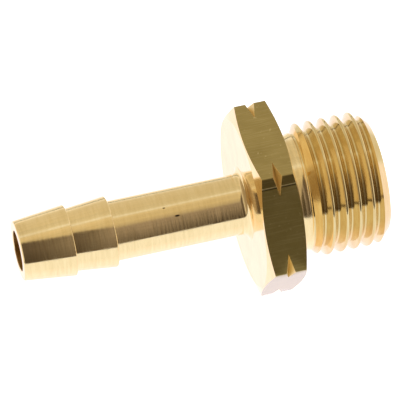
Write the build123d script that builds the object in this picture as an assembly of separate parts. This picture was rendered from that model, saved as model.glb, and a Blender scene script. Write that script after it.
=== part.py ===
from build123d import *
import math
import os

# Hose barb tail: one piece turned from hexagon bar. It has a barbed tail for a hose,
# a thin spanner hexagon and a parallel G 1/4 left-hand external thread, with one bore
# through it. The axis is X: the hose end is at -X and the thread at +X.
# The origin is on the axis, in the plane of the shoulder that the thread seats on,
# and one hexagon flat faces straight down (-Z). All sizes are in millimetres.

# ---- Driving dimensions -------------------------------------------------------------

# bore
bore_d = 4.0
bore_mouth_chamfer = 0.3

# hose tail: tip, two barbs, plain shank
tail_length = 22.45           # tip face to the hexagon
tip_d = 5.9
tip_edge = 0.12               # small break on the tip's outer edge
barb_d = 7.0
barb_1_at = 5.12              # distance of each barb's back face from the tip
barb_2_at = 9.2
barb_2_start_d = 6.15         # where the second barb's cone starts, behind the first
barb_edge = 0.06              # flat left on each barb's rim
shank_d = 5.92
shank_fillet = 0.3            # where the shank meets the hexagon

# hexagon
across_flats = 17.0
hex_thickness = 4.0
face_d = 16.6                 # flat circle left inside each face's chamfer
face_chamfer_deg = 17.0       # measured from the face

# notches across the corners, the mark of a left-hand thread
corner_count = 6
notch_floor = 8.85            # distance of a notch's bottom line from the axis
notch_angle_deg = 50.0

# thread: G 1/4, cut left-hand
thread_d = 13.157
thread_pitch = 25.4 / 19
thread_angle_deg = 55.0
thread_length = 9.25          # shoulder to the end face
thread_end_d = 11.0           # at the end face, after a 45 degree chamfer
neck_d = 11.4                 # undercut between the shoulder and the thread
neck_length = 1.55
neck_fillet = 0.25
groove_at = 2.75              # a groove passes this far from the shoulder ...
groove_at_deg = 39.8          # ... at this angle, turned from -Y towards +Z

# ---- Worked out from them -----------------------------------------------------------

hex_front = -hex_thickness                   # the hexagon's face on the hose side
tip_x = hex_front - tail_length
corner_r = across_flats / math.sqrt(3)       # centre to a sharp corner
face_r = face_d / 2

flank_slope = math.tan(math.radians(thread_angle_deg / 2))
sharp_height = thread_pitch / (2 * flank_slope)
thread_depth = sharp_height * 2 / 3          # a sixth is cut off at the crest and the root
thread_r = thread_d / 2
root_r = thread_r - thread_depth
root_half_width = sharp_height / 6 * flank_slope


def turned(points, closing_arc=0):
    """Solid turned about X from an outline of (x, r) points.

    The last point joins the first by a straight line, or by an arc of radius closing_arc,
    which bends to the left of its way when the radius is negative.
    """
    with BuildPart() as solid:
        with BuildSketch(Plane.XY):
            with BuildLine():
                Polyline(*points)
                if closing_arc:
                    RadiusArc(points[-1], points[0], closing_arc)
                else:
                    Line(points[-1], points[0])
            make_face()
        revolve(axis=Axis.X, revolution_arc=360)
    return solid.part


def hose_tail():
    """Tip, two saw-tooth barbs and the shank, filleted into the hexagon's face."""
    barb_r = barb_d / 2
    shank_r = shank_d / 2
    barb_1 = tip_x + barb_1_at
    barb_2 = tip_x + barb_2_at
    outline = [
        (hex_front, shank_r + shank_fillet),
        (hex_front, 0),
        (tip_x, 0),
        (tip_x, tip_d / 2 - tip_edge),
        (tip_x + tip_edge, tip_d / 2),
        (barb_1 - barb_edge, barb_r),
        (barb_1, barb_r - barb_edge / 2),
        (barb_1, barb_2_start_d / 2),
        (barb_2 - barb_edge, barb_r),
        (barb_2, barb_r - barb_edge / 2),
        (barb_2, shank_r),
        (hex_front - shank_fillet, shank_r),
    ]
    return turned(outline, closing_arc=-shank_fillet)


def hexagon():
    """Slice of hexagon bar with its corners chamfered from both faces."""
    bar = extrude(Plane.YZ * RegularPolygon(across_flats / 2, 6, major_radius=False), -hex_thickness)
    past_corner = corner_r + 1
    chamfer_depth = (past_corner - face_r) * math.tan(math.radians(face_chamfer_deg))
    envelope = turned([
        (hex_front, 0),
        (hex_front, face_r),
        (hex_front + chamfer_depth, past_corner),
        (-chamfer_depth, past_corner),
        (0, face_r),
        (0, 0),
    ])
    return bar & envelope


def top_notch():
    """Straight V cut along Y above the axis, halfway along the hexagon."""
    top = corner_r + 1
    half_width = (top - notch_floor) * math.tan(math.radians(notch_angle_deg / 2))
    middle = -hex_thickness / 2
    vee = Polyline(
        (middle, notch_floor),
        (middle + half_width, top),
        (middle - half_width, top),
        close=True,
    )
    return extrude(make_face(Plane.XZ * vee), across_flats / 4, both=True)


def notched_hexagon():
    """The hexagon with a notch across every corner."""
    body = hexagon()
    for i in range(corner_count):
        body -= Rot(X=30 + i * 360 / corner_count) * top_notch()
    return body


def thread_envelope():
    """Undercut neck, 45 degree run-up, and the thread's cylinder with its end chamfered."""
    neck_r = neck_d / 2
    end_r = thread_end_d / 2
    outline = [
        (0, neck_r + neck_fillet),
        (0, 0),
        (thread_length, 0),
        (thread_length, end_r),
        (thread_length - (thread_r - end_r), thread_r),
        (neck_length + thread_r - neck_r, thread_r),
        (neck_length, neck_r),
        (neck_fillet, neck_r),
    ]
    return turned(outline, closing_arc=neck_fillet)


def threaded_rod():
    """A rod, longer than the thread, with the left-hand groove cut in it."""
    start = groove_at - thread_pitch
    turns = math.ceil((thread_length + thread_pitch - start) / thread_pitch)
    helix = Helix(
        pitch=thread_pitch,
        height=turns * thread_pitch,
        radius=root_r,
        center=(start, 0, 0),
        direction=(1, 0, 0),
        lefthand=True,
    )
    # the groove's cross-section stands on the helix's first point, straight above the axis
    air = thread_r + 0.2
    half_width = root_half_width + (air - root_r) * flank_slope
    section = Plane(origin=(start, 0, 0), x_dir=(1, 0, 0), z_dir=(0, -1, 0))
    trapezium = Polyline(
        (-root_half_width, root_r),
        (root_half_width, root_r),
        (half_width, air),
        (-half_width, air),
        close=True,
    )
    groove = sweep(make_face(section * trapezium), path=helix, is_frenet=True)
    spare = 2 * thread_pitch
    rod_length = spare + start + turns * thread_pitch + spare
    rod = Cylinder(thread_r, rod_length, align=(Align.CENTER, Align.CENTER, Align.MIN))
    rod = Pos(X=-spare) * Rot(Y=90) * rod - groove
    # the groove starts at +Z, and this turn brings it to groove_at_deg
    return Rot(X=90 - groove_at_deg) * rod


def bore():
    """Through bore, with its mouth at the thread end slightly chamfered."""
    bore_r = bore_d / 2
    mouth_r = bore_r + bore_mouth_chamfer
    past = 1
    return turned([
        (tip_x - past, 0),
        (tip_x - past, bore_r),
        (thread_length - bore_mouth_chamfer, bore_r),
        (thread_length, mouth_r),
        (thread_length + past, mouth_r),
        (thread_length + past, 0),
    ])


def hose_barb_tail():
    thread = thread_envelope() & threaded_rod()
    return hose_tail() + notched_hexagon() + thread - bore()


os.makedirs("parts", exist_ok=True)
part = hose_barb_tail()
export_step(part, "parts/hose_barb_tail.step")

centre = part.center(CenterOf.MASS)
print("valid", part.is_valid, "solids", len(part.solids()), "volume mm3", round(part.volume, 1))
print("centre of mass, from the hexagon's middle plane", round(centre.X + hex_thickness / 2, 3))
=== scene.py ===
# %% [markdown]
# # A turned brass hose tail with a left-hand thread
#
# The real part is one piece of free-cutting brass. A lathe turned it from hexagon bar: a
# barbed tail for a soft hose, a thin hexagon for the spanner, and a parallel thread.
# We follow the turner's order: first the shapes that spin, then the hexagon that is
# left from the bar, then the thread that a tool cuts. The three are joined into one
# piece and drilled. Last come the finishes, the light and the camera.
#
# The CAD model is loaded first. It gives the place and the size of everything.

import math

import bpy
from mathutils import Matrix, Vector


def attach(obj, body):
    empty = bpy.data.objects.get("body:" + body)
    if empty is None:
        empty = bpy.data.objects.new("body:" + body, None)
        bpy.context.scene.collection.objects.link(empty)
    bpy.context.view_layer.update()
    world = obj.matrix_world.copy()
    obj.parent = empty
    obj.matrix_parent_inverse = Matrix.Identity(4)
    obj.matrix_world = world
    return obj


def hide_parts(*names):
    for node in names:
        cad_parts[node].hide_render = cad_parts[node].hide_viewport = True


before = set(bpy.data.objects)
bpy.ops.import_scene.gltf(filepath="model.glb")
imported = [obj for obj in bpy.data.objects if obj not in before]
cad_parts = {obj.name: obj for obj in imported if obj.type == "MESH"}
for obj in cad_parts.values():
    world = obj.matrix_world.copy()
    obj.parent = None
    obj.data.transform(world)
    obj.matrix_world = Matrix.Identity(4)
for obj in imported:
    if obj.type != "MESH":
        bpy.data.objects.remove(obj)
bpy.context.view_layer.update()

# %% [markdown]
# ## A few helpers for working as by hand
#
# Blender's operators act on whatever is selected, and loading leaves the CAD nodes
# selected. So each step starts by clearing the selection and picking one object.
# Sizes are written in millimetres and turned into metres in one place.

# %% Selecting and millimetres
MM = 0.001


def pick(piece):
    """Makes this object the only selected one, and the active one."""
    bpy.ops.object.select_all(action="DESELECT")
    piece.select_set(True)
    bpy.context.view_layer.objects.active = piece


def settle(piece):
    """Moves the object's own place and turn into its mesh, so that it sits at the origin."""
    pick(piece)
    bpy.ops.object.transform_apply(location=True, rotation=True, scale=True)


def edit(piece, select="SELECT", kind="VERT"):
    """Opens the object in edit mode with everything, or nothing, selected."""
    pick(piece)
    bpy.ops.object.mode_set(mode="EDIT")
    bpy.ops.mesh.select_mode(type=kind)
    bpy.ops.mesh.select_all(action=select)


def close_edit():
    """Turns every face outwards and leaves edit mode."""
    bpy.ops.mesh.select_all(action="SELECT")
    bpy.ops.mesh.normals_make_consistent(inside=False)
    bpy.ops.object.mode_set(mode="OBJECT")


def combine(piece, tool, operation):
    """Joins, cuts or keeps the common part of two solids, and throws the tool away."""
    pick(piece)
    boolean = piece.modifiers.new(operation.title(), "BOOLEAN")
    boolean.operation = operation
    boolean.solver = "EXACT"
    boolean.object = tool
    bpy.ops.object.modifier_apply(modifier=boolean.name)
    bpy.data.objects.remove(tool, do_unlink=True)


def faces_of(piece):
    """Number of faces, for the printed report of each step."""
    return len(piece.data.polygons)


# %% [markdown]
# ## Turning on the lathe
#
# A lathe makes every section round, so the shape is only a list of places along the
# axis and a radius at each. We start from one circle, extrude it to the next place and
# resize it there, again and again. A screw or spin of a drawn line would give the same
# shape; extruding keeps both ends closed, which the cutting steps need.

# %% The lathe
ROUND_STEPS = 192


def turned(name, outline):
    """A closed solid turned about X from an outline of (x, radius) pairs in mm."""
    first_x, first_r = outline[0]
    bpy.ops.mesh.primitive_circle_add(
        vertices=ROUND_STEPS,
        radius=first_r * MM,
        fill_type="NGON",
        location=(first_x * MM, 0, 0),
        rotation=(0, math.pi / 2, 0),
    )
    piece = bpy.context.object
    piece.name = name
    settle(piece)
    edit(piece)
    for (x_from, r_from), (x_to, r_to) in zip(outline, outline[1:]):
        bpy.ops.mesh.extrude_region_move(
            TRANSFORM_OT_translate={"value": ((x_to - x_from) * MM, 0, 0)}
        )
        grow = r_to / r_from
        bpy.ops.transform.resize(value=(1, grow, grow), center_override=(x_to * MM, 0, 0))
    close_edit()
    return piece


def arc(centre_x, centre_r, radius, from_deg, to_deg, steps):
    """Points of an arc in the outline's plane. 0 degrees points along +X, 90 outwards."""
    points = []
    for i in range(steps + 1):
        turn = math.radians(from_deg + (to_deg - from_deg) * i / steps)
        points.append((centre_x + radius * math.cos(turn), centre_r + radius * math.sin(turn)))
    return points


# %% [markdown]
# ## The hose tail
#
# The hose slides over two saw-tooth barbs: a long cone that opens the hose and a
# steep back that bites. A hose must not be cut as it goes over, so each rim is rounded
# by a tenth of a millimetre. That round draws the thin bright line behind a barb.
# Where the plain shank meets the hexagon, the tool's nose leaves a fillet.

# %% Tail outline and solid
HEX_FRONT = -4.0
TIP = HEX_FRONT - 22.45
TIP_R = 5.9 / 2
TIP_BREAK = 0.12
BARB_R = 7.0 / 2
BARB_1 = TIP + 5.12
BARB_2 = TIP + 9.2
SECOND_CONE_R = 6.15 / 2
RIM_ROUND = 0.11
RIM_FROM_DEG = 96  # the round starts on the cone, which leans back by this much over 90
RIM_STEPS = 5
SHANK_R = 5.92 / 2
SHANK_FILLET = 0.8
FILLET_STEPS = 8
SUNK = 1.0  # how far the tail and the thread reach into the hexagon before joining it


def barb_rim(back_x):
    """The rounded rim of a barb, from where its cone ends to its back face."""
    return arc(back_x - RIM_ROUND, BARB_R - RIM_ROUND, RIM_ROUND, RIM_FROM_DEG, 0, RIM_STEPS)


tail = turned("tail", [
    (TIP, TIP_R - TIP_BREAK),
    (TIP + TIP_BREAK * 0.3, TIP_R - TIP_BREAK * 0.3),
    (TIP + TIP_BREAK, TIP_R),
    *barb_rim(BARB_1),
    (BARB_1, SECOND_CONE_R),
    *barb_rim(BARB_2),
    (BARB_2, SHANK_R),
    *arc(HEX_FRONT - SHANK_FILLET, SHANK_R + SHANK_FILLET, SHANK_FILLET, -90, -10, FILLET_STEPS),
    (HEX_FRONT + SUNK, SHANK_R + SHANK_FILLET),
])
print("tail:", faces_of(tail), "faces")

# %% [markdown]
# ## The hexagon
#
# The hexagon is the bar itself, 17 mm across flats. Its corners are turned off at a
# shallow angle from both sides, which leaves the curved lines where the cone meets
# the flats. A six-sided cylinder is the bar, and the cone is a turned solid; their
# common part is the nut shape. Cutting with a solid gives the true curve, which
# bevelling the corners by eye would not.

# %% Bar and chamfer
ACROSS_FLATS = 17.0
CORNER_R = ACROSS_FLATS / math.sqrt(3)
FACE_R = 16.6 / 2
FACE_CHAMFER = math.radians(17.0)
CORNER_ROUND = 0.09  # the dies leave the bar's corners very slightly round

bpy.ops.mesh.primitive_cylinder_add(
    vertices=6,
    radius=CORNER_R * MM,
    depth=-HEX_FRONT * MM,
    location=(HEX_FRONT / 2 * MM, 0, 0),
    rotation=(0, math.pi / 2, 0),
)
hexagon = bpy.context.object
hexagon.name = "hexagon"
settle(hexagon)
edit(hexagon, select="DESELECT", kind="EDGE")
bpy.ops.object.mode_set(mode="OBJECT")
for edge in hexagon.data.edges:
    one, other = (hexagon.data.vertices[i].co for i in edge.vertices)
    edge.select = abs(one.x - other.x) > MM  # the six edges along the bar
bpy.ops.object.mode_set(mode="EDIT")
bpy.ops.mesh.bevel(offset=CORNER_ROUND * MM, segments=3, affect="EDGES")
close_edit()
print("bar:", faces_of(hexagon), "faces")

CONE_PAST = 1.5  # how far the cones run on past the bar, inwards and outwards
cone_depth = CONE_PAST * math.tan(FACE_CHAMFER)
chamfer_cone = turned("chamfer_cone", [
    (HEX_FRONT - cone_depth, FACE_R - CONE_PAST),
    (HEX_FRONT + 2 * cone_depth, FACE_R + 2 * CONE_PAST),
    (-2 * cone_depth, FACE_R + 2 * CONE_PAST),
    (cone_depth, FACE_R - CONE_PAST),
])
combine(hexagon, chamfer_cone, "INTERSECT")
print("chamfered hexagon:", faces_of(hexagon), "faces")

# %% [markdown]
# ## The notches of a left-hand thread
#
# A V-notch across every corner is the usual warning that the thread turns the other
# way. A form tool cuts it straight across. We model one wedge from a three-sided
# cylinder, lay it above the axis, and turn a copy of it to each corner, each copy with
# its own mesh. Cutting with it leaves the sharp floor and the slanting ends that the
# tool leaves, which pushing points about would not.

# %% Six wedges
NOTCH_FLOOR = 8.85
NOTCH_HALF_ANGLE = math.radians(25.0)
NOTCH_TOP = CORNER_R + 1.0
CORNERS = 6
FIRST_CORNER_DEG = 30

bpy.ops.mesh.primitive_cylinder_add(vertices=3, radius=1.0, depth=ACROSS_FLATS / 2 * MM)
wedge = bpy.context.object
wedge.name = "wedge"
half_width = (NOTCH_TOP - NOTCH_FLOOR) * math.tan(NOTCH_HALF_ANGLE)
wedge_places = {0: (0.0, NOTCH_FLOOR), 1: (half_width, NOTCH_TOP), 2: (-half_width, NOTCH_TOP)}
for vertex in wedge.data.vertices:  # they come in pairs, one at each end
    along, out = wedge_places[vertex.index // 2]
    side = math.copysign(ACROSS_FLATS / 4, vertex.co.z)
    vertex.co = ((HEX_FRONT / 2 + along) * MM, side * MM, out * MM)
settle(wedge)

for corner in range(CORNERS):
    pick(wedge)
    bpy.ops.object.duplicate()
    cutter = bpy.context.object
    edit(cutter)
    bpy.ops.transform.rotate(
        value=math.radians(FIRST_CORNER_DEG + 360 / CORNERS * corner),
        orient_axis="X",
        center_override=(0, 0, 0),
    )
    close_edit()
    combine(hexagon, cutter, "DIFFERENCE")
bpy.data.objects.remove(wedge, do_unlink=True)
print("notched hexagon:", faces_of(hexagon), "faces")

# %% [markdown]
# ## The thread
#
# G 1/4 has 19 turns to the inch, flanks at 55 degrees to each other, and crests and
# roots rounded to the same radius. We draw one turn of that profile, point by point,
# and let a Screw modifier carry it round the axis. The negative angle makes it
# left-handed. Every turn meets the next at the root, where doubles are merged, and
# the two open ends are filled to make a solid.

# %% One pitch of the profile
PITCH = 25.4 / 19
THREAD_R = 13.157 / 2
FLANK = math.radians(55.0 / 2)
SHARP_HEIGHT = PITCH / (2 * math.tan(FLANK))
ROOT_R = THREAD_R - SHARP_HEIGHT * 2 / 3
NOSE = 0.137 * PITCH  # radius of the crests and the roots
NOSE_SWEEP = 90 - math.degrees(FLANK)
NOSE_STEPS = 6
GROOVE_AT = 2.75      # a groove passes this far from the shoulder ...
GROOVE_AT_DEG = 39.8  # ... at this angle up from the front
SPARE_TURNS = 5       # turns of the rod on the hose side of that groove

groove_at_top = GROOVE_AT + PITCH * (90 - GROOVE_AT_DEG) / 360
rod_start = groove_at_top - SPARE_TURNS * PITCH
half_root = arc(0.0, ROOT_R + NOSE, NOSE, -90, -90 + NOSE_SWEEP, NOSE_STEPS)
half_crest = arc(PITCH / 2, THREAD_R - NOSE, NOSE, 90 + NOSE_SWEEP, 90, NOSE_STEPS)
left_half = half_root + half_crest
profile = left_half + [(PITCH - along, out) for along, out in reversed(left_half[:-1])]

bpy.ops.mesh.primitive_plane_add(size=PITCH * MM)
rod = bpy.context.object
rod.name = "thread_rod"
edit(rod)
bpy.ops.mesh.merge(type="CENTER")
first_along, first_out = profile[0]
bpy.ops.transform.translate(value=((rod_start + first_along) * MM, 0, first_out * MM))
for (a_from, o_from), (a_to, o_to) in zip(profile, profile[1:]):
    bpy.ops.mesh.extrude_region_move(
        TRANSFORM_OT_translate={"value": ((a_to - a_from) * MM, 0, (o_to - o_from) * MM)}
    )
bpy.ops.object.mode_set(mode="OBJECT")
print("thread profile:", len(rod.data.vertices), "points for one turn")

# %% Carry it round
TURN_STEPS = 120
ROD_TURNS = 12
TURN_WELD = 0.001

screw = rod.modifiers.new("Thread", "SCREW")
screw.axis = "X"
screw.angle = -2 * math.pi
screw.screw_offset = PITCH * MM
screw.iterations = ROD_TURNS
screw.steps = TURN_STEPS
screw.render_steps = TURN_STEPS
pick(rod)
bpy.ops.object.modifier_apply(modifier=screw.name)
edit(rod)
bpy.ops.mesh.remove_doubles(threshold=TURN_WELD * MM)
bpy.ops.mesh.fill_holes(sides=0)
close_edit()
print("thread rod:", faces_of(rod), "faces")

# %% [markdown]
# The rod is now turned down to the real part: an undercut neck where the thread tool
# runs out, a 45 degree run-up, and a 45 degree chamfer that starts the nut. Keeping
# only what the rod and that outline share leaves the helix fading out as it does on
# the lathe.

# %% Turn the thread to length
THREAD_LENGTH = 9.25
THREAD_END_R = 11.0 / 2
NECK_R = 11.4 / 2
NECK_LENGTH = 1.55
NECK_FILLET = 0.25
NECK_STARTS_AT = 0.03
NECK_HOLLOW = 1.65   # radius of the tool that turned the neck
NECK_LOWEST_AT = 0.8
NECK_DIP = 0.05      # how far the hollow goes below the neck's radius
RUN_UP_FROM = 0.1    # where the 45 degree run-up starts, past the neck and above it
CLEAR = 0.05         # keeps the turned outline off the crests

blank = turned("thread_blank", [
    (-SUNK, NECK_R + NECK_FILLET),
    (NECK_STARTS_AT, NECK_R + NECK_FILLET),
    *arc(NECK_LOWEST_AT, NECK_R + NECK_HOLLOW - NECK_DIP, NECK_HOLLOW, -115, -65, 8),
    (NECK_LENGTH + RUN_UP_FROM, NECK_R + RUN_UP_FROM),
    (NECK_LENGTH + THREAD_R + CLEAR - NECK_R, THREAD_R + CLEAR),
    (THREAD_LENGTH - (THREAD_R + CLEAR - THREAD_END_R), THREAD_R + CLEAR),
    (THREAD_LENGTH, THREAD_END_R),
])
combine(rod, blank, "INTERSECT")
print("thread:", faces_of(rod), "faces")

# %% [markdown]
# ## Joining and drilling
#
# The three solids are joined into one and drilled through, because the real part is
# one piece of metal. The drill's mouth is lightly chamfered at the thread end, and
# barely dulled at the tip.

# %% Join and drill
BORE_R = 4.0 / 2
THREAD_MOUTH = 0.3
TIP_MOUTH = 0.05
PAST_END = 1.0
WELD = 0.002  # the cuts leave a few points this close together

hose_barb_tail = hexagon
hose_barb_tail.name = "turned_hose_tail"
combine(hose_barb_tail, tail, "UNION")
combine(hose_barb_tail, rod, "UNION")
drill = turned("drill", [
    (TIP - PAST_END, BORE_R + TIP_MOUTH + PAST_END),
    (TIP + TIP_MOUTH, BORE_R),
    (THREAD_LENGTH - THREAD_MOUTH, BORE_R),
    (THREAD_LENGTH + PAST_END, BORE_R + THREAD_MOUTH + PAST_END),
])
combine(hose_barb_tail, drill, "DIFFERENCE")
edit(hose_barb_tail)
bpy.ops.mesh.remove_doubles(threshold=WELD * MM)
bpy.ops.mesh.dissolve_degenerate(threshold=WELD * MM)
close_edit()
settle(hose_barb_tail)
print("finished part:", faces_of(hose_barb_tail), "faces")

# %% [markdown]
# Smooth shading hides the flats of the round parts. It must stop at every real edge,
# and the shallowest of them is the 17 degree one of the hexagon's chamfer, so the
# limit is set just under that.

# %% Smooth the round parts
SMOOTH_BELOW = math.radians(14)

pick(hose_barb_tail)
bpy.ops.object.shade_smooth_by_angle(angle=SMOOTH_BELOW)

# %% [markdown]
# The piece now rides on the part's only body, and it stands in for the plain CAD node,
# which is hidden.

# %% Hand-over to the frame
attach(hose_barb_tail, "root")
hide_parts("hose_barb_tail")
print("handed over:", hose_barb_tail.name)

# %% [markdown]
# ## Finishes
#
# All of the part is one metal, yet each tool leaves it looking different. A lathe
# leaves fine rings, the drawing die leaves the bar's flats darker and scratched along
# their length, and the notch and the thread show bright fresh metal. So the finishes
# share one brass and differ in their marks. Colours are written as on a screen and
# turned to linear by one function, and one function adds a node with what feeds it.

# %% Colours and nodes
def to_linear(screen_hex):
    """Linear RGBA of an sRGB colour written as six hex digits."""
    channels = [int(screen_hex[i:i + 2], 16) / 255 for i in (0, 2, 4)]
    linear = [c / 12.92 if c <= 0.04045 else ((c + 0.055) / 1.055) ** 2.4 for c in channels]
    return (*linear, 1.0)


def add(tree, kind, feeds=None, **settings):
    """Adds a node. feeds gives inputs, by name or number, a value or another node's output."""
    node = tree.nodes.new("ShaderNode" + kind)
    for key, value in settings.items():
        setattr(node, key, value)
    for key, value in (feeds or {}).items():
        if isinstance(value, bpy.types.NodeSocket):
            tree.links.new(value, node.inputs[key])
        else:
            node.inputs[key].default_value = value
    return node


def new_material(name):
    """An empty node material, and its tree."""
    material = bpy.data.materials.new(name)
    material.use_nodes = True
    material.node_tree.nodes.clear()
    return material, material.node_tree


def paint_ramp(node, stops):
    """Sets a colour ramp's stops from (position, colour) pairs."""
    elements = node.color_ramp.elements
    elements.remove(elements[-1])
    elements[0].position = stops[0][0]
    elements[0].color = to_linear(stops[0][1])
    for position, screen_hex in stops[1:]:
        elements.new(position).color = to_linear(screen_hex)


PER_MM = 1000.0  # a texture's scale counts per metre, so 1 / mm is this many

# %% [markdown]
# Turned brass is free-cutting brass as the tool leaves it. It is bright, and its rings
# run round the axis. A wave texture would repeat too evenly, so the rings are noise
# that is stretched round the axis and squeezed along it. The feed marks of the real
# tool are about 0.05 mm apart, and they are drawn 0.24 mm apart so that they show.
# Broader bands change the gloss a little, as the tool's cut does along a tail.
#
# The same function makes the other machined finishes. They differ in colour, gloss and
# depth of their rings:
#
# - the tail, the faces and the neck, turned and then handled: bright, with two nicks
# - the thread, cut at one pass with a sharp tool: glossy, with hardly any rings
# - the bore, drilled: rough, and painted darker as shade, because little light gets in
# - the notches, cut last with a form tool: fresh, pale and matt

# %% Turned brass
RING_SPACING = 0.24
RING_LENGTH = 2.0
BAND_SPACING = 0.9
BAND_LENGTH = 6.0
NICK_HEX = "3A2A12"
NICK_INSIDE, NICK_OUTSIDE = 0.7, 1.1  # shares of a nick's size between which it fades
NICKS = [  # centre in mm, half sizes in mm
    ((-11.06, -1.80, 2.35), (0.26, 0.09, 0.12)),
    ((-12.15, -0.92, 2.81), (0.14, 0.06, 0.06)),
]


def nick_mask(tree, place):
    """1 inside a nick and 0 outside, for all the nicks together."""
    mask = 0.0
    for (x, y, z), (half_x, half_y, half_z) in NICKS:
        scale = (PER_MM / half_x, PER_MM / half_y, PER_MM / half_z)
        shift = (-x / half_x, -y / half_y, -z / half_z)
        local = add(tree, "Mapping", {
            "Vector": place.outputs["Object"], "Location": shift, "Scale": scale,
        })
        away = add(tree, "VectorMath", {0: local.outputs[0]}, operation="LENGTH")
        inside = add(tree, "MapRange", {
            "Value": away.outputs["Value"], "From Min": NICK_OUTSIDE, "From Max": NICK_INSIDE,
        })
        mask = add(tree, "Math", {0: inside.outputs[0], 1: mask}, operation="MAXIMUM").outputs[0]
    return mask


def grain_noise(tree, place, along, across, detail):
    """Noise whose grains are so many mm long along the axis and across it."""
    squeezed = add(tree, "Mapping", {
        "Vector": place.outputs["Object"],
        "Scale": (PER_MM / along, PER_MM / across, PER_MM / across),
    })
    feeds = {"Vector": squeezed.outputs[0], "Scale": 1.0, "Detail": detail}
    return add(tree, "TexNoise", feeds).outputs["Fac"]


def ringed_brass(name, bright, worn, roughness, ring_depth, nicked=False):
    """Brass with turning rings about X. ring_depth is in mm."""
    material, tree = new_material(name)
    place = add(tree, "TexCoord")
    rings = grain_noise(tree, place, RING_SPACING, RING_LENGTH, 3.0)
    bands = grain_noise(tree, place, BAND_SPACING, BAND_LENGTH, 2.0)
    tone = add(tree, "MapRange", {"Value": rings, "From Min": 0.35, "From Max": 0.7})
    colour = add(tree, "Mix", {
        "Factor": tone.outputs[0], "A": to_linear(bright), "B": to_linear(worn),
    }, data_type="RGBA").outputs["Result"]
    if nicked:
        colour = add(tree, "Mix", {
            "Factor": nick_mask(tree, place), "A": colour, "B": to_linear(NICK_HEX),
        }, data_type="RGBA").outputs["Result"]
    gloss = add(tree, "MapRange", {
        "Value": bands, "From Min": 0.3, "From Max": 0.7,
        "To Min": roughness * 0.7, "To Max": roughness * 1.4,
    })
    bump = add(tree, "Bump", {"Height": rings, "Strength": 1.0, "Distance": ring_depth * MM})
    shader = add(tree, "BsdfPrincipled", {
        "Base Color": colour,
        "Metallic": 1.0,
        "Roughness": gloss.outputs[0],
        "Normal": bump.outputs[0],
    })
    add(tree, "OutputMaterial", {"Surface": shader.outputs[0]})
    return material


# name, colour, worn colour, roughness, depth of the rings
turned_brass = ringed_brass("brass_turned", "FBE4B3", "F5DCA8", 0.12, 0.005, nicked=True)
cut_brass = ringed_brass("brass_thread_cut", "E7D3A1", "DDC38D", 0.1, 0.001)
# The bore's darker colours are painted shade, for the little light that gets into it.
shaded_drilled_brass = ringed_brass("brass_drilled_painted_shade", "DDB870", "B88E4C", 0.3, 0.004)
notch_brass = ringed_brass("brass_notch_cut", "F6E2B0", "E6CE94", 0.38, 0.001)
print("bright brass:", turned_brass.name, "with", len(NICKS), "nicks")

# %% [markdown]
# The flats are the bar's own skin. Drawing it through a die leaves dull, greenish brass
# with fine scratches along its length and a thin, clearer film on top. To the eye that
# is a soft satin under a faint gloss, so a rough metal gets a clear coat. The scratches
# are noise again, now long along the axis: real ones are a few hundredths of a
# millimetre wide, and they are drawn 0.12 mm wide so that they show. Specks are where
# The front flat also has the line that a worn die drew along it, near its upper corner,
# and its light is painted: a painted highlight along the line, a painted shade line just
# below it, and a painted dark reflection in the band from the line up to the corner. It is
# far too shallow to change the outline, so it is painted and not cut.

# %% Drawn bar
FLAT_TURN = math.radians(30)
FLAT_OUT = (0.0, -math.cos(FLAT_TURN), math.sin(FLAT_TURN))
FLAT_UP = (0.0, math.sin(FLAT_TURN), math.cos(FLAT_TURN))
SCRATCH_LENGTH = 3.0
SCRATCH_WIDTH = 0.12
SCRATCH_DEPTH = 0.008
CLOUD_SIZE = 3.0
SPECK_SIZE = 0.45
DIE_LINE = 3.9  # mm up the front flat from its middle
DIE_LINE_WIDTH = 0.11
PAINTED_REFLECTION_END = 5.0
# Painted light of the die line: a darker band that is a painted reflection up to the corner, a
# painted highlight, and a painted shade line.
DIE_LINE_PAINTED_LIGHT = [  # from, to, colour, strength
    (DIE_LINE, PAINTED_REFLECTION_END, "6A5A30", 0.5),
    (DIE_LINE, DIE_LINE + DIE_LINE_WIDTH, "F0DFA8", 0.8),
    (DIE_LINE - DIE_LINE_WIDTH, DIE_LINE, "2E2410", 0.7),
]


def between(tree, value, low, high, soft=0.02):
    """1 where the value lies from low to high, which are in mm, fading over soft."""
    rise = add(tree, "MapRange", {
        "Value": value, "From Min": (low - soft) * MM, "From Max": low * MM,
    })
    fall = add(tree, "MapRange", {
        "Value": value, "From Min": (high + soft) * MM, "From Max": high * MM,
    })
    both = add(tree, "Math", {0: rise.outputs[0], 1: fall.outputs[0]}, operation="MULTIPLY")
    return both.outputs[0]


drawn_brass, tree = new_material("brass_drawn_bar")
place = add(tree, "TexCoord")
scratches = grain_noise(tree, place, SCRATCH_LENGTH, SCRATCH_WIDTH, 4.0)
cloud = add(tree, "TexNoise", {
    "Vector": place.outputs["Object"], "Scale": PER_MM / CLOUD_SIZE, "Detail": 3.0,
})
grain = add(tree, "TexNoise", {
    "Vector": place.outputs["Object"], "Scale": PER_MM / SPECK_SIZE, "Detail": 3.0,
})
streak = add(tree, "MapRange", {
    "Value": scratches, "From Min": 0.5, "From Max": 0.75, "To Max": 0.32,
})
speck = add(tree, "MapRange", {
    "Value": grain.outputs["Fac"], "From Min": 0.66, "From Max": 0.76, "To Max": 0.7,
})
marks = add(tree, "Math", {0: streak.outputs[0], 1: speck.outputs[0]}, operation="MAXIMUM")
skin = add(tree, "Mix", {
    "Factor": cloud.outputs["Fac"], "A": to_linear("B8A468"), "B": to_linear("94803F"),
}, data_type="RGBA")
colour = add(tree, "Mix", {
    "Factor": marks.outputs[0], "A": skin.outputs["Result"], "B": to_linear("DCCB94"),
}, data_type="RGBA").outputs["Result"]

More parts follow.
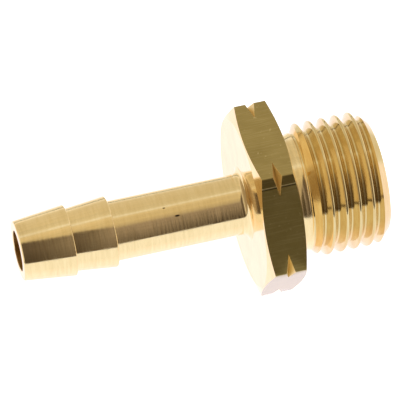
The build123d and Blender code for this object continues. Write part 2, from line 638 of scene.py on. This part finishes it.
out = add(tree, "VectorMath", {
    0: place.outputs["Object"], 1: FLAT_OUT,
}, operation="DOT_PRODUCT")
up_flat = add(tree, "VectorMath", {
    0: place.outputs["Object"], 1: FLAT_UP,
}, operation="DOT_PRODUCT")
on_flat = add(tree, "Math", {
    0: out.outputs["Value"], 1: (ACROSS_FLATS / 2 - 0.05) * MM,
}, operation="GREATER_THAN")
# Each entry paints its highlight, shade line and dark reflection band onto the front flat.
for low, high, painted_light_hex, strength in DIE_LINE_PAINTED_LIGHT:
    line = between(tree, up_flat.outputs["Value"], low, high)
    mask = add(tree, "Math", {0: line, 1: on_flat.outputs[0]}, operation="MULTIPLY")
    share = add(tree, "Math", {0: mask.outputs[0], 1: strength}, operation="MULTIPLY")
    colour = add(tree, "Mix", {
        "Factor": share.outputs[0], "A": colour, "B": to_linear(painted_light_hex),
    }, data_type="RGBA").outputs["Result"]

bump = add(tree, "Bump", {"Height": scratches, "Strength": 1.0, "Distance": SCRATCH_DEPTH * MM})
shader = add(tree, "BsdfPrincipled", {
    "Base Color": colour,
    "Metallic": 1.0,
    "Roughness": 0.36,
    "Normal": bump.outputs[0],
    "Coat Weight": 1.0,
    "Coat Roughness": 0.12,
    "Coat IOR": 1.5,
})
add(tree, "OutputMaterial", {"Surface": shader.outputs[0]})
print("drawn bar:", len(tree.nodes), "nodes")

# %% [markdown]
# Each face now takes its finish from where it lies: the notches, the flats, the bore
# and the thread can all be told by their place and the way they look.

# %% Give each face its finish
FINISHES = [turned_brass, drawn_brass, notch_brass, shaded_drilled_brass, cut_brass]
TURNED, DRAWN, NOTCHED, DRILLED, THREADED = range(5)
for finish in FINISHES:
    hose_barb_tail.data.materials.append(finish)

NEAR = 0.01


def finish_of(face):
    """Number of the finish that this face has, from its place and its normal."""
    centre, normal = face.center / MM, face.normal
    out = math.hypot(centre.y, centre.z)
    radial = (centre.y * normal.y + centre.z * normal.z) / max(out, NEAR)
    in_hexagon = HEX_FRONT + NEAR < centre.x < -NEAR
    if out < BORE_R + 2 * NEAR and radial < -0.5:
        return DRILLED
    if in_hexagon and abs(normal.x) < NEAR:
        return DRAWN
    if in_hexagon and 0.6 < abs(normal.x) < 0.95 and out > FACE_R:
        return NOTCHED
    return THREADED if centre.x > NECK_LENGTH else TURNED


counts = [0] * len(FINISHES)
for face in hose_barb_tail.data.polygons:
    face.material_index = finish_of(face)
    counts[face.material_index] += 1
print("faces of each finish:", dict(zip([m.name for m in FINISHES], counts)))

# %% [markdown]
# ## Floor, light and surroundings
#
# A bright metal shows what is round it more than its own colour. So we build the small
# studio that a catalogue uses: a sheet of white paper on the table, and a tent over it
# whose front is dark, because the camera and its operator stand there, and whose top
# and back are a warm tan. The tent is only seen in reflections. The camera looks
# through it at plain white.
#
# The paper has two looks. Seen by the camera it is white and takes the shadow of the
# part. Seen in the brass it glows evenly from a dark front edge to the back edge, and
# the tan cloth shows beyond. One shader for both would make either the white grey or
# the brass too pale.

# %% Table paper
TABLE_Z = -ACROSS_FLATS / 2
TABLE_SIZE = 2.0         # metres
TABLE_GAP = 0.02         # keeps the paper off the flat that lies on it
PAPER_HEX = "E6E6E6"
PAPER_LIFT = 0.8         # light added so that the camera sees the paper as white
PAPER_GLOW = 1.26        # how bright the paper is in a reflection
PAPER_BACK = 40.0
TENT_R = 160.0
MIRRORED = [  # mm back from the axis, colour that a reflection sees
    (-106, "54493C"),
    (-94, "EBEBEB"),
    (-12, "EBEBEB"),
    (-7, "FFF4FA"),
    (25, "FFF4FA"),
    (PAPER_BACK, "EBEBEB"),
    (PAPER_BACK + 0.01, "DCD4C2"),
]


def studio_object(name, material):
    """Names the active object and gives it its material."""
    thing = bpy.context.object
    thing.name = name
    thing.data.materials.append(material)
    return thing


def spread(stops, reach):
    """Stops given from -reach to reach, as a ramp's positions from 0 to 1."""
    return [((place / reach + 1) / 2, screen_hex) for place, screen_hex in stops]


paper_material, tree = new_material("white_table_paper")
rays = add(tree, "LightPath")
place = add(tree, "TexCoord")
spot = add(tree, "SeparateXYZ", {0: place.outputs["Object"]})
back_share = add(tree, "MapRange", {
    "Value": spot.outputs["Y"], "From Min": -TENT_R * MM, "From Max": TENT_R * MM,
})
mirrored_colour = add(tree, "ValToRGB", {0: back_share.outputs[0]})
paint_ramp(mirrored_colour, spread(MIRRORED, TENT_R))
paper = add(tree, "BsdfDiffuse", {"Color": to_linear(PAPER_HEX)})
lift = add(tree, "Emission", {"Color": (1, 1, 1, 1), "Strength": PAPER_LIFT})
to_camera = add(tree, "AddShader", {0: paper.outputs[0], 1: lift.outputs[0]})
direct = add(tree, "MixShader", {
    0: rays.outputs["Is Camera Ray"], 1: paper.outputs[0], 2: to_camera.outputs[0],
})
mirrored = add(tree, "Emission", {
    "Color": mirrored_colour.outputs["Color"], "Strength": PAPER_GLOW,
})
table_shader = add(tree, "MixShader", {
    0: rays.outputs["Is Glossy Ray"], 1: direct.outputs[0], 2: mirrored.outputs[0],
})
add(tree, "OutputMaterial", {"Surface": table_shader.outputs[0]})

bpy.ops.mesh.primitive_plane_add(size=TABLE_SIZE, location=(0, 0, (TABLE_Z - TABLE_GAP) * MM))
studio_object("table", paper_material)
print("table at z, mm:", TABLE_Z)

# %% [markdown]
# The tent is half of a wide open cylinder round the part's axis. Its colours follow the
# angle up from the front of the table, and along the axis the dark front has a lighter
# gap. The long reflections on the tail are that angle drawn out along the metal. A
# plain white world would leave the brass pale and flat, and lamps would leave hot spots
# in it; a tent with few tones gives the calm bands that polished tube shows. Faint
# folds in the cloth keep the bands from looking printed.

# %% Tent
TENT_HALF_LENGTH = 120.0
TENT_STEPS = 256
FOLDS_ACROSS = 45       # folds from the table's front round to its back
FOLD_LENGTH = 160.0
TENT_ANGLES = [  # degrees up from the front of the table, colour
    (50, "C6B599"),
    (76, "DFCEA8"),
    (93, "E7D6B3"),
    (99, "FFFCF0"),
    (105, "E3D8BD"),
    (125, "E0D3B5"),
    (165, "E8DCC2"),
    (176, "FFFAF0"),
]
FRONT_ALONG = [  # mm along the axis, colour of the front's dark side
    (-120, "C0B098"),
    (-75, "6E6050"),
    (-45, "5C5044"),
    (-28, "6A5D4E"),
    (-20, "807464"),
    (0, "A49585"),
    (7, "A89989"),
    (12, "3A3024"),
    (18, "40362A"),
    (22, "5A4E38"),
    (45, "5A4E38"),
    (62, "6E6050"),
    (120, "D8CCB8"),
]
SIDE_LIGHT = [  # mm along the axis, how bright the top and back are
    (-120, "FFFFFF"),
    (-30, "F2F2F2"),
    (-23, "FFFFFF"),
    (13, "F3F3F3"),
    (20, "EDEDED"),
    (120, "FFFFFF"),
]
FRONT_EDGE = 60.4      # degrees up to which the front is dark, at the middle
EDGE_FALL = 0.35       # degrees that this edge falls per mm along the axis
EDGE_SOFT = (4, -3)    # degrees over which it fades, outside and inside
GAP_LEAN = 0.088       # mm that the light gap leans per degree up
DEEP_FROM, DEEP_TO = 2.0, 42.0  # degrees up between which the front grows lighter
DEEP_SHARE = 0.62               # how bright it is at the lower of them

tent_material, tree = new_material("tent_cloth")
place = add(tree, "TexCoord")
spot = add(tree, "SeparateXYZ", {0: place.outputs["Object"]})
front = add(tree, "Math", {0: spot.outputs["Y"], 1: -1.0}, operation="MULTIPLY")
turn = add(tree, "Math", {0: spot.outputs["Z"], 1: front.outputs[0]}, operation="ARCTAN2")
share = add(tree, "Math", {0: turn.outputs[0], 1: math.pi}, operation="DIVIDE")
degrees_up = add(tree, "Math", {0: share.outputs[0], 1: 180.0}, operation="MULTIPLY")
x_mm = add(tree, "Math", {0: spot.outputs["X"], 1: PER_MM}, operation="MULTIPLY")

angle_colour = add(tree, "ValToRGB", {0: share.outputs[0]})
paint_ramp(angle_colour, [(degrees / 180, screen_hex) for degrees, screen_hex in TENT_ANGLES])
side_place = add(tree, "MapRange", {
    "Value": x_mm.outputs[0], "From Min": -TENT_HALF_LENGTH, "From Max": TENT_HALF_LENGTH,
})
side_light = add(tree, "ValToRGB", {0: side_place.outputs[0]})
paint_ramp(side_light, spread(SIDE_LIGHT, TENT_HALF_LENGTH))
lit_top = add(tree, "Mix", {
    "Factor": 1.0, "A": angle_colour.outputs["Color"], "B": side_light.outputs["Color"],
}, data_type="RGBA", blend_type="MULTIPLY")

leaned_x = add(tree, "Math", {
    0: degrees_up.outputs[0], 1: -GAP_LEAN, 2: x_mm.outputs[0],
}, operation="MULTIPLY_ADD")
front_place = add(tree, "MapRange", {
    "Value": leaned_x.outputs[0], "From Min": -TENT_HALF_LENGTH, "From Max": TENT_HALF_LENGTH,
})
front_colour = add(tree, "ValToRGB", {0: front_place.outputs[0]})
paint_ramp(front_colour, spread(FRONT_ALONG, TENT_HALF_LENGTH))
depth = add(tree, "MapRange", {
    "Value": degrees_up.outputs[0], "From Min": DEEP_FROM, "From Max": DEEP_TO,
    "To Min": DEEP_SHARE, "To Max": 1.0,
})
deep_front = add(tree, "VectorMath", {
    0: front_colour.outputs["Color"], "Scale": depth.outputs[0],
}, operation="SCALE")

edge_shift = add(tree, "Math", {
    0: x_mm.outputs[0], 1: EDGE_FALL, 2: degrees_up.outputs[0],
}, operation="MULTIPLY_ADD")
in_front = add(tree, "MapRange", {
    "Value": edge_shift.outputs[0],
    "From Min": FRONT_EDGE + EDGE_SOFT[0], "From Max": FRONT_EDGE + EDGE_SOFT[1],
})
tent_colour = add(tree, "Mix", {
    "Factor": in_front.outputs[0], "A": lit_top.outputs["Result"], "B": deep_front.outputs[0],
}, data_type="RGBA")

fold_place = add(tree, "CombineXYZ", {0: share.outputs[0], 1: spot.outputs["X"]})
folds = add(tree, "Mapping", {
    "Vector": fold_place.outputs[0], "Scale": (FOLDS_ACROSS, PER_MM / FOLD_LENGTH, 1),
})
fold_noise = add(tree, "TexNoise", {"Vector": folds.outputs[0], "Scale": 1.0, "Detail": 3.0})
fold_light = add(tree, "MapRange", {
    "Value": fold_noise.outputs["Fac"],
    "From Min": 0.3, "From Max": 0.7, "To Min": 0.85, "To Max": 1.12,
})
cloth = add(tree, "Emission", {
    "Color": tent_colour.outputs["Result"], "Strength": fold_light.outputs[0],
})
add(tree, "OutputMaterial", {"Surface": cloth.outputs[0]})

bpy.ops.mesh.primitive_cylinder_add(
    vertices=TENT_STEPS,
    radius=TENT_R * MM,
    depth=2 * TENT_HALF_LENGTH * MM,
    end_fill_type="NOTHING",
    rotation=(0, math.pi / 2, 0),
)
tent = studio_object("tent", tent_material)
settle(tent)
edit(tent)
bpy.ops.mesh.bisect(plane_co=(0, 0, TABLE_Z * MM), plane_no=(0, 0, 1), clear_inner=True)
bpy.ops.object.mode_set(mode="OBJECT")
tent.visible_camera = False
tent.visible_diffuse = False
tent.visible_shadow = False
tent.visible_transmission = False
print("tent:", faces_of(tent), "faces")

# %% [markdown]
# The world lights the part evenly and shows white behind it. Only a reflection sees
# that the room is a warm tone past the tent's two open ends, which the hexagon's face
# and the flanks of the thread pick up.

# %% World
ROOM_ENDS = [  # heading along the axis from -1 to 1, colour that a reflection sees
    (-0.9, "A08E74"),
    (-0.68, "C0AE90"),
    (-0.6, "FFF8EC"),
    (0.9, "FFF8EC"),
    (0.97, "A8967A"),
]

world = bpy.data.worlds.new("studio")
bpy.context.scene.world = world
world.use_nodes = True
tree = world.node_tree
tree.nodes.clear()
facing = add(tree, "TexCoord")
heading = add(tree, "SeparateXYZ", {0: facing.outputs["Generated"]})
end_share = add(tree, "MapRange", {
    "Value": heading.outputs["X"], "From Min": -1.0, "From Max": 1.0,
})
room = add(tree, "ValToRGB", {0: end_share.outputs[0]})
paint_ramp(room, spread(ROOM_ENDS, 1.0))
rays = add(tree, "LightPath")
seen = add(tree, "Mix", {
    "Factor": rays.outputs["Is Glossy Ray"], "A": (1, 1, 1, 1), "B": room.outputs["Color"],
}, data_type="RGBA")
plain = add(tree, "Background", {"Color": seen.outputs["Result"], "Strength": 1.0})
add(tree, "OutputWorld", {"Surface": plain.outputs[0]})

bpy.context.scene.view_settings.view_transform = "Standard"
print("world:", len(ROOM_ENDS), "tones from end to end")

# %% [markdown]
# ## The camera
#
# The camera looks down on the part from the front, a little from the hose end, and
# stands 0.4 m away, as one does for a small part. Its place is given by two angles and
# that distance from the hexagon's middle. The frame is then aimed so that the hexagon
# lies right of its centre and the whole tail fits in. Turning the camera by hand to
# such a view takes many tries, so the axes of the view are worked out here instead.

# %% Camera
AZIMUTH = math.radians(-16.136)
ELEVATION = math.radians(48.654)
ROLL = math.radians(0.268)
DISTANCE = 400.0
HEX_MIDDLE = Vector((HEX_FRONT / 2, 0.0, 0.0))
PIXELS_PER_MM = 10.329
FRAME_PIXELS = 400
FRAME_MIDDLE = FRAME_PIXELS / 2
HEX_PIXEL = (263.06, 198.96)  # where the hexagon's middle lies, from the top left
AIM_PIXELS = (FRAME_MIDDLE - HEX_PIXEL[0], HEX_PIXEL[1] - FRAME_MIDDLE)
NEAREST, FARTHEST = 0.01, 10.0  # metres that the camera sees between

camera_data = bpy.data.cameras.new("camera")
camera = bpy.data.objects.new("camera", camera_data)
bpy.context.scene.collection.objects.link(camera)
bpy.context.scene.camera = camera

back = Vector((
    math.sin(AZIMUTH) * math.cos(ELEVATION),
    -math.cos(AZIMUTH) * math.cos(ELEVATION),
    math.sin(ELEVATION),
))
right = Vector((math.cos(AZIMUTH), math.sin(AZIMUTH), 0.0))
up = back.cross(right)
turned_right = right * math.cos(ROLL) + up * math.sin(ROLL)
turned_up = back.cross(turned_right)
aim = (HEX_MIDDLE
       + turned_right * (AIM_PIXELS[0] / PIXELS_PER_MM)
       + turned_up * (AIM_PIXELS[1] / PIXELS_PER_MM))
eye = HEX_MIDDLE + back * DISTANCE
look_back = (eye - aim).normalized()
look_right = turned_up.cross(look_back).normalized()
look_up = look_back.cross(look_right)
camera.rotation_euler = Matrix((look_right, look_up, look_back)).transposed().to_euler()
camera.location = eye * MM
camera_data.lens = DISTANCE * PIXELS_PER_MM / FRAME_PIXELS * camera_data.sensor_width
camera_data.clip_start = NEAREST
camera_data.clip_end = FARTHEST
print("lens, mm:", round(camera_data.lens, 1))
